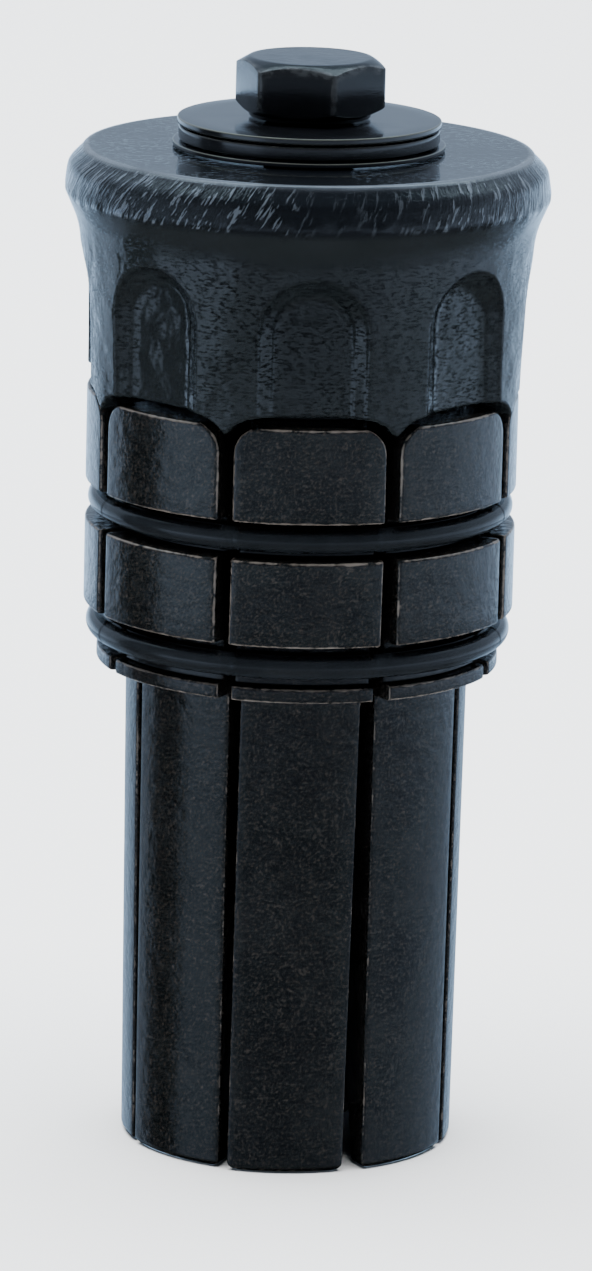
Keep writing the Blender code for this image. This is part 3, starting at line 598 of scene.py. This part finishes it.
both = add_node(tree, "ShaderNodeMath", {"operation": "MULTIPLY_ADD", 1: 1.7},
                i0=stroke_relief.outputs[0], i2=skin_relief.outputs[0])
SOFT_STEP = {"interpolation_type": "SMOOTHSTEP"}
inner_step = add_node(tree, "ShaderNodeMapRange", {**SOFT_STEP, 1: 1.6 * MM, 2: 2.3 * MM, 3: 1.0, 4: 0.0},
                      i0=distance.outputs["Fac"])
outer_step = add_node(tree, "ShaderNodeMapRange", {**SOFT_STEP, 1: 0.0, 2: 0.6 * MM, 3: 1.0, 4: 0.0},
                      i0=distance.outputs["Fac"])
steps = add_node(tree, "ShaderNodeMath", {"operation": "ADD"},
                 i0=inner_step.outputs[0], i1=outer_step.outputs[0])
fine = add_node(tree, "ShaderNodeMath", {"operation": "ADD"}, i0=both.outputs[0], i1=steps.outputs[0])
swell = add_node(tree, "ShaderNodeTexNoise", {"Scale": 1 / (4 * MM), "Detail": 2.0}, Vector=place)
swell_here = add_node(tree, "ShaderNodeMath", {"operation": "MULTIPLY"},
                      i0=swell.outputs["Fac"], i1=below_fillet.outputs[0])
total = add_node(tree, "ShaderNodeMath", {"operation": "MULTIPLY_ADD", 1: 2.0},
                 i0=swell_here.outputs[0], i2=fine.outputs[0])
bump = add_node(tree, "ShaderNodeBump", {"Strength": 1.0, "Distance": 0.2 * MM}, Height=total.outputs[0])
streak = add_node(tree, "ShaderNodeMapRange", {1: 0.56, 2: 0.63, 3: 0.0, 4: 0.95}, i0=strokes.outputs["Fac"])
streak_here = add_node(tree, "ShaderNodeMath", {"operation": "MULTIPLY"}, i0=streak.outputs[0], i1=ground)
rubbed = add_node(tree, "ShaderNodeAttribute", {"attribute_name": "wear"})
rubbed_some = add_node(tree, "ShaderNodeMath", {"operation": "MULTIPLY"},
                       i0=rubbed.outputs["Fac"], i1=pitted.outputs[0])
bare = add_node(tree, "ShaderNodeMath", {"operation": "MAXIMUM"},
                i0=streak_here.outputs[0], i1=rubbed_some.outputs[0])
colour = add_node(tree, "ShaderNodeMix", {"data_type": "RGBA", 7: linear("#6E7884")},
                  i0=bare.outputs[0], i6=black.outputs[2])
rough = add_node(tree, "ShaderNodeMapRange", {1: 0.0, 2: 1.0, 3: 0.08, 4: 0.15}, i0=forged)
metal = add_node(tree, "ShaderNodeMath", {"operation": "MULTIPLY", 1: 0.8}, i0=bare.outputs[0])
feed(tree, shader, Base_Color=colour.outputs[2], Metallic=metal.outputs[0],
     Roughness=rough.outputs[0], Normal=bump.outputs[0])

collar = skin("collar_finished", points, ring=True, ground=ground_share, ground_way=ground_way,
              scoop_edge=edge_distance, forged=skin_depth, wear=top_edge)
finish_piece(collar, forged_steel, "collar_group", "forged_steel", "collar")


# Three flat steel washers let the bolt turn under load: a thin one on the collar, a thick thrust
# washer, and a thin polished one that turns with the head. They lie loose on the bolt.
WASHER_BORE = 6.75 * MM

# Polished and blued steel: a dark, nearly even film with a hard gloss, faint level turning marks,
# and grey bare steel along the outer edges.
blued_washer_steel, tree, shader = new_material("polished_blued_washer_steel", IOR=2.1)
place = add_node(tree, "ShaderNodeTexCoord").outputs["Object"]
film = add_node(tree, "ShaderNodeTexNoise", {"Scale": 1 / (7 * MM), "Detail": 4.0}, Vector=place)
black = add_node(tree, "ShaderNodeMix", {"data_type": "RGBA", 6: linear("#050608"), 7: linear("#0D0F12")},
                 i0=film.outputs["Fac"])
rubbed = add_node(tree, "ShaderNodeAttribute", {"attribute_name": "wear"})
patchy = add_node(tree, "ShaderNodeTexNoise", {"Scale": 1 / (2.5 * MM), "Detail": 3.0}, Vector=place)
patches = add_node(tree, "ShaderNodeMapRange", {1: 0.3, 2: 0.7, 3: 0.35, 4: 1.0}, i0=patchy.outputs["Fac"])
bare = add_node(tree, "ShaderNodeMath", {"operation": "MULTIPLY"},
                i0=rubbed.outputs["Fac"], i1=patches.outputs[0])
colour = add_node(tree, "ShaderNodeMix", {"data_type": "RGBA", 7: linear("#7D8078")},
                  i0=bare.outputs[0], i6=black.outputs[2])
rough = add_node(tree, "ShaderNodeMapRange", {1: 0.3, 2: 0.7, 3: 0.08, 4: 0.2}, i0=film.outputs["Fac"])
squashed = add_node(tree, "ShaderNodeMapping", {"Scale": (1.0, 1.0, 6.0)}, Vector=place)
marks = add_node(tree, "ShaderNodeTexNoise", {"Scale": 1 / (1.5 * MM), "Detail": 3.0},
                 Vector=squashed.outputs[0])
bump = add_node(tree, "ShaderNodeBump", {"Strength": 0.12, "Distance": 0.04 * MM},
                Height=marks.outputs["Fac"])
feed(tree, shader, Base_Color=colour.outputs[2], Metallic=bare.outputs[0],
     Roughness=rough.outputs[0], Normal=bump.outputs[0])

for washer_name, body, edge, brightness in (
    ("lower_washer", "collar_group", 0.14 * MM, 1.0),
    ("thrust_washer", "collar_group", 0.30 * MM, 0.35),
    ("top_washer", "bolt_group", 0.2 * MM, 1.0),
):
    low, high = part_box(washer_name)
    profile = closed_profile([
        (WASHER_BORE, low[2], edge, 0), (high[0], low[2], edge, 0.3 * brightness),
        (high[0], high[2], edge, brightness), (WASHER_BORE, high[2], edge, 0),
    ])
    grid = turned_grid(profile, 160)
    wear = profile[:, 2:3] + 0 * grid[..., 0]
    piece = skin(f"{washer_name}_finished", grid, ring=True, wear=wear)
    finish_piece(piece, blued_washer_steel, body, "washer_steel", washer_name)


# The bolt is a cold-headed, black-oxided steel hex bolt: a chamfered head over a washer face, and a
# shank whose thread runs in the mandrel. A wrench on the head turns it.
bolt_low, bolt_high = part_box("bolt")
HEAD_TOP = bolt_high[2]
HEAD_FOOT = 150.2 * MM
HEAD_SEAT = 149.6 * MM
HEAD_FLAT = 19.05 / 2 * MM
HEAD_CHAMFER_RADIUS = 8.7 * MM
HEAD_CHAMFER = math.radians(30)
HEAD_EDGE = 0.14 * MM
WASHER_FACE_RADIUS = 8.7 * MM
HEAD_TURN = FRONT - math.radians(14)  # a flat faces this far to the left of the first segment
SHANK_RADIUS = 6.35 * MM
THREAD_PITCH = 25.4 / 13 * MM
THREAD_DEPTH = 1.1 * MM
THREAD_TOP = 46 * MM


def bolt_grid(columns=192):
    """The bolt from its tip to the head's top, and how worn each point is: radius(turn, height) of the
    shank is the outer radius less depth times a triangle wave of height / pitch - turn, held between 0
    and 1; the head's is flat / cos(angle), cut by a cone at both ends."""
    angle, shape = many_sided(6, HEAD_TURN, 0.018, columns // 6)
    tip = bolt_low[2]
    height = np.arange(tip + 0.8 * MM, THREAD_TOP, THREAD_PITCH / 10)[:, None]
    phase = (height / THREAD_PITCH - angle / (2 * math.pi)) % 1
    groove = THREAD_DEPTH * np.clip(1.15 * (1 - np.abs(2 * phase - 1)) - 0.07, 0, 1)
    fade = np.clip((THREAD_TOP - height) / (3 * MM), 0, 1) * np.clip((height - tip) / (1.5 * MM), 0.4, 1)
    thread = SHANK_RADIUS - groove * fade - np.clip(tip + 1.6 * MM - height, 0, 1) * 0.6
    hexagon = HEAD_FLAT * shape
    tangent = math.tan(HEAD_CHAMFER)
    upper = HEAD_TOP - (hexagon - HEAD_CHAMFER_RADIUS) * tangent
    lower = HEAD_FOOT + 0.35 * MM + (hexagon - HEAD_FLAT) * 0.55
    rows = [
        (3.0 * MM, tip), (SHANK_RADIUS - 1.2 * MM, tip + 0.02 * MM),
        *zip(thread, height),
        (SHANK_RADIUS, THREAD_TOP + 0.4 * MM), (SHANK_RADIUS, HEAD_SEAT - 0.2 * MM),
        (SHANK_RADIUS + 0.1 * MM, HEAD_SEAT), (WASHER_FACE_RADIUS - 0.3 * MM, HEAD_SEAT),
        (WASHER_FACE_RADIUS - 0.05 * MM, HEAD_SEAT + 0.1 * MM), (WASHER_FACE_RADIUS, HEAD_FOOT - 0.1 * MM),
        (WASHER_FACE_RADIUS + 0.1 * MM, HEAD_FOOT), (hexagon - 0.25 * MM, lower - 0.12 * MM),
        (hexagon, lower + HEAD_EDGE), (hexagon, upper - 1.2 * MM),
    ]
    edge = len(rows)  # the rows of the worn edge round the chamfer start here
    rows += [
        (hexagon, upper - HEAD_EDGE), (hexagon - 0.03 * MM, upper - HEAD_EDGE * 0.3),
        (hexagon - HEAD_EDGE, upper + HEAD_EDGE * tangent * 0.6),
        (HEAD_CHAMFER_RADIUS + (hexagon - HEAD_CHAMFER_RADIUS) * 0.5, (upper + HEAD_TOP) / 2),
        (HEAD_CHAMFER_RADIUS + 0.1 * MM, HEAD_TOP - 0.06 * MM), (HEAD_CHAMFER_RADIUS - 0.25 * MM, HEAD_TOP),
        (HEAD_CHAMFER_RADIUS - 0.6 * MM, HEAD_TOP), (4 * MM, HEAD_TOP), (0.5 * MM, HEAD_TOP),
    ]
    radius, height = (np.array([row[k] + 0 * angle for row in rows]) for k in (0, 1))
    points = np.stack([radius * np.cos(angle), radius * np.sin(angle), height], axis=-1)
    wear = np.zeros(radius.shape)
    wear[edge : edge + 3] = 1.0
    upright = np.clip((shape - 1.12) / 0.02, 0, 1)
    wear[edge - 2 : edge + 1] = np.maximum(wear[edge - 2 : edge + 1], upright)
    return points, wear


# Cold-formed steel, black oxided and oiled: smoother and glossier than the forging, with faint
# brushed marks on the flats and thin bare lines along the head's edges.
bolt_steel, tree, shader = new_material("black_oxided_bolt_steel", IOR=1.6)
place = add_node(tree, "ShaderNodeTexCoord").outputs["Object"]
film = add_node(tree, "ShaderNodeTexNoise", {"Scale": 1 / (5 * MM), "Detail": 5.0}, Vector=place)
black = add_node(tree, "ShaderNodeMix", {"data_type": "RGBA", 6: linear("#040507"), 7: linear("#0B0D10")},
                 i0=film.outputs["Fac"])
rubbed = add_node(tree, "ShaderNodeAttribute", {"attribute_name": "wear"})
patchy = add_node(tree, "ShaderNodeTexNoise", {"Scale": 1 / (1.5 * MM), "Detail": 3.0}, Vector=place)
patches = add_node(tree, "ShaderNodeMapRange", {1: 0.4, 2: 0.65, 3: 0.05, 4: 0.5}, i0=patchy.outputs["Fac"])
bare = add_node(tree, "ShaderNodeMath", {"operation": "MULTIPLY"},
                i0=rubbed.outputs["Fac"], i1=patches.outputs[0])
colour = add_node(tree, "ShaderNodeMix", {"data_type": "RGBA", 7: linear("#62676C")},
                  i0=bare.outputs[0], i6=black.outputs[2])
rough = add_node(tree, "ShaderNodeMapRange", {1: 0.3, 2: 0.7, 3: 0.1, 4: 0.24}, i0=film.outputs["Fac"])
squashed = add_node(tree, "ShaderNodeMapping", {"Scale": (1.0, 1.0, 5.0)}, Vector=place)
marks = add_node(tree, "ShaderNodeTexNoise", {"Scale": 1 / (1.0 * MM), "Detail": 4.0},
                 Vector=squashed.outputs[0])
bump = add_node(tree, "ShaderNodeBump", {"Strength": 0.5, "Distance": 0.06 * MM}, Height=marks.outputs["Fac"])
feed(tree, shader, Base_Color=colour.outputs[2], Metallic=bare.outputs[0],
     Roughness=rough.outputs[0], Normal=bump.outputs[0])

points, wear = bolt_grid()
bolt = skin("bolt_finished", points, wear=wear)
finish_piece(bolt, bolt_steel, "bolt_group", "bolt_steel", "bolt")


# The floor is a plain matt white sheet. Two discs on it are painted shade, seen only in reflections: a
# grey one round the tool's foot for the shaded floor near it, and a black one under its fingers for the
# shade under the tool. They keep light from below out of the fingers' gloss and out of the tool's inside.
FLOOR_HALF = 6.0
FLOOR_SHADE_RADIUS = 0.33
floor_mesh = bpy.data.meshes.new("floor")
floor_corners = [(x * FLOOR_HALF, y * FLOOR_HALF, 0) for x, y in ((-1, -1), (1, -1), (1, 1), (-1, 1))]
floor_mesh.from_pydata(floor_corners, [], [(0, 1, 2, 3)])
floor = bpy.data.objects.new("floor", floor_mesh)
bpy.context.collection.objects.link(floor)
white_sheet, tree, shader = new_material("matt_white_sheet", Base_Color=linear("#F4F5F6"), Roughness=0.9)
floor_mesh.materials.append(white_sheet)
floor.visible_glossy = False  # the tool's dark front mirrors the studio, not the sheet

turn = np.linspace(0, 2 * math.pi, 64, endpoint=False)
# Each disc is painted shade, seen only in reflections, and lets through the share clear of the light behind
# it.
for name, reach, height, clear in (
    ("grey_painted_floor_shade", FLOOR_SHADE_RADIUS, 0.68 * MM, 0.48),
    ("shade_under_the_feet", FOOT_RADIUS, 0.2 * MM, 0.0),
):
    rim = np.stack([reach * np.cos(turn), reach * np.sin(turn), height + 0 * turn], axis=-1)
    shade_disc_mesh = bpy.data.meshes.new(name)
    shade_disc_mesh.from_pydata(rim.tolist(), [], [tuple(range(len(rim)))])
    shade_disc = bpy.data.objects.new(name, shade_disc_mesh)
    bpy.context.collection.objects.link(shade_disc)
    shade_disc_material = bpy.data.materials.new(name)
    shade_disc_material.use_nodes = True
    tree = shade_disc_material.node_tree
    shade_disc_filter = add_node(tree, "ShaderNodeBsdfTransparent", {"Color": (clear, clear, clear, 1)})
    tree.links.new(shade_disc_filter.outputs[0], tree.nodes["Material Output"].inputs["Surface"])
    shade_disc_mesh.materials.append(shade_disc_material)
    shade_disc.visible_camera = shade_disc.visible_diffuse = shade_disc.visible_shadow = shade_disc.visible_transmission = False


# The studio is a ring of pale panels behind and beside the tool, with dark gaps between them, and is
# dark where the camera stands. A dark flag hangs over the front and a narrow lamp strip behind it,
# overhead. The gloss mirrors all this, the camera sees plain white, and a soft box lights the floor.
STUDIO = [  # (degrees round from the camera, brightness at the ground, brightness above the horizon)
    (-180, 1.9, 0.55), (-150, 1.7, 0.55), (-134, 1.0, 0.55), (-118, 0.85, 0.5), (-112, 0.05, 0.14),
    (-86, 0.04, 0.1), (-80, 0.65, 0.2), (-50, 0.6, 0.12), (-39, 0.26, 0.06), (0, 0.21, 0.05),
    (32, 0.25, 0.06), (50, 0.4, 0.1), (75, 0.52, 0.21), (100, 0.72, 0.38), (125, 0.98, 0.5),
    (155, 1.8, 0.55), (180, 1.9, 0.55),
]
FLAG, CEILING, LOW_GROUND = (0.07, 0.09, 0.12, 1), (0.3, 0.43, 0.55, 1), (0.15, 0.18, 0.21, 1)
LAMP, BACKDROP = (1.9, 2.5, 2.9, 1), (4.5, 4.5, 4.5, 1)
world = bpy.data.worlds.new("studio")
world.use_nodes = True
bpy.context.scene.world = world
tree = world.node_tree
way = add_node(tree, "ShaderNodeTexCoord").outputs["Generated"]
parts = add_node(tree, "ShaderNodeSeparateXYZ", Vector=way)
turned_x = add_node(tree, "ShaderNodeMath", {"operation": "MULTIPLY", 1: -1.0}, i0=parts.outputs["Y"])
azimuth = add_node(tree, "ShaderNodeMath", {"operation": "ARCTAN2"},
                   i0=parts.outputs["X"], i1=turned_x.outputs[0])
share = add_node(tree, "ShaderNodeMapRange", {1: -math.pi, 2: math.pi, 3: 0.0, 4: 1.0}, i0=azimuth.outputs[0])
rings = []
for column in (1, 2):
    ring = add_node(tree, "ShaderNodeValToRGB", Fac=share.outputs[0])
    ramp = ring.color_ramp
    while len(ramp.elements) < len(STUDIO):
        ramp.elements.new(0.5)
    for element, row in zip(ramp.elements, STUDIO):
        element.position = (row[0] + 180) / 360
        bright = row[column]  # tinted blue, the more so the brighter it is
        element.color = (bright * (0.8 - 0.07 * bright), bright * 0.97, bright * (1.24 + 0.07 * bright), 1)
    rings.append(ring.outputs[0])
above = add_node(tree, "ShaderNodeMapRange", {**SOFT_STEP, 1: -0.14, 2: 0.14}, i0=parts.outputs["Z"])
walls = add_node(tree, "ShaderNodeMix", {"data_type": "RGBA"}, i0=above.outputs[0], i6=rings[0], i7=rings[1])
over = add_node(tree, "ShaderNodeMapRange", {**SOFT_STEP, 1: 0.6, 2: 0.78}, i0=parts.outputs["Z"])
past_flag = add_node(tree, "ShaderNodeMapRange", {**SOFT_STEP, 1: -0.08, 2: 0.16}, i0=parts.outputs["Y"])
above_all = add_node(tree, "ShaderNodeMix", {"data_type": "RGBA", 6: FLAG, 7: CEILING},
                     i0=past_flag.outputs[0])
ceiling = add_node(tree, "ShaderNodeMix", {"data_type": "RGBA"},
                   i0=over.outputs[0], i6=walls.outputs[2], i7=above_all.outputs[2])
under = add_node(tree, "ShaderNodeMapRange", {**SOFT_STEP, 1: -0.45, 2: -0.7}, i0=parts.outputs["Z"])
ground = add_node(tree, "ShaderNodeMix", {"data_type": "RGBA", 7: LOW_GROUND},
                  i0=under.outputs[0], i6=ceiling.outputs[2])
behind = add_node(tree, "ShaderNodeMapRange", {**SOFT_STEP, 1: 0.1, 2: 0.35}, i0=parts.outputs["Y"])
high = add_node(tree, "ShaderNodeMapRange", {**SOFT_STEP, 1: 0.62, 2: 0.74}, i0=parts.outputs["Z"])
near = add_node(tree, "ShaderNodeMapRange", {**SOFT_STEP, 1: 0.42, 2: 0.5, 3: 1.0, 4: 0.0},
                i0=parts.outputs["Y"])
strip_depth = add_node(tree, "ShaderNodeMath", {"operation": "MULTIPLY"},
                       i0=behind.outputs[0], i1=near.outputs[0])
strip = add_node(tree, "ShaderNodeMath", {"operation": "MULTIPLY"},
                 i0=strip_depth.outputs[0], i1=high.outputs[0])
lamp = add_node(tree, "ShaderNodeMix", {"data_type": "RGBA", 7: LAMP},
                i0=strip.outputs[0], i6=ground.outputs[2])
path = add_node(tree, "ShaderNodeLightPath")
seen = add_node(tree, "ShaderNodeMix", {"data_type": "RGBA", 7: BACKDROP},
                i0=path.outputs["Is Camera Ray"], i6=lamp.outputs[2])
tree.links.new(seen.outputs[2], tree.nodes["Background"].inputs["Color"])

soft_box = bpy.data.lights.new("overhead_soft_box", "AREA")
soft_box.shape = "SQUARE"
soft_box.size = 3.4
soft_box.energy = 470
soft_box_object = bpy.data.objects.new("overhead_soft_box", soft_box)
soft_box_object.location = (-0.2, 0.35, 3.0)
soft_box_object.visible_glossy = False  # the tool's gloss comes from the studio round it
bpy.context.collection.objects.link(soft_box_object)


# The camera stands a metre in front, a little above and to the left of the first segment, rolled
# so that the tool leans to the right as it does in the photograph.
AIM_HEIGHT = 78.5 * MM
DISTANCE = 1080.3 * MM
ELEVATION = math.radians(13.09)
AZIMUTH = math.radians(2.5)
ROLL = math.radians(1.41)
FRAME_HEIGHT = 1271
FOCAL_PIXELS = 7497
AIM_PIXELS_RIGHT, AIM_PIXELS_UP = 1.72, 32.49
camera = bpy.data.cameras.new("camera")
camera.sensor_width = 36
camera.lens = FOCAL_PIXELS / FRAME_HEIGHT * camera.sensor_width
camera.shift_x = -AIM_PIXELS_RIGHT / FRAME_HEIGHT
camera.shift_y = -AIM_PIXELS_UP / FRAME_HEIGHT
camera.clip_start = 0.01
camera_object = bpy.data.objects.new("camera", camera)
away, up = DISTANCE * math.cos(ELEVATION), DISTANCE * math.sin(ELEVATION)
camera_object.location = (-away * math.sin(AZIMUTH), -away * math.cos(AZIMUTH), AIM_HEIGHT + up)
facing = Matrix.Rotation(-AZIMUTH, 4, "Z") @ Matrix.Rotation(math.pi / 2 - ELEVATION, 4, "X")
camera_object.rotation_euler = (facing @ Matrix.Rotation(ROLL, 4, "Z")).to_euler()
bpy.context.collection.objects.link(camera_object)
bpy.context.scene.camera = camera_object
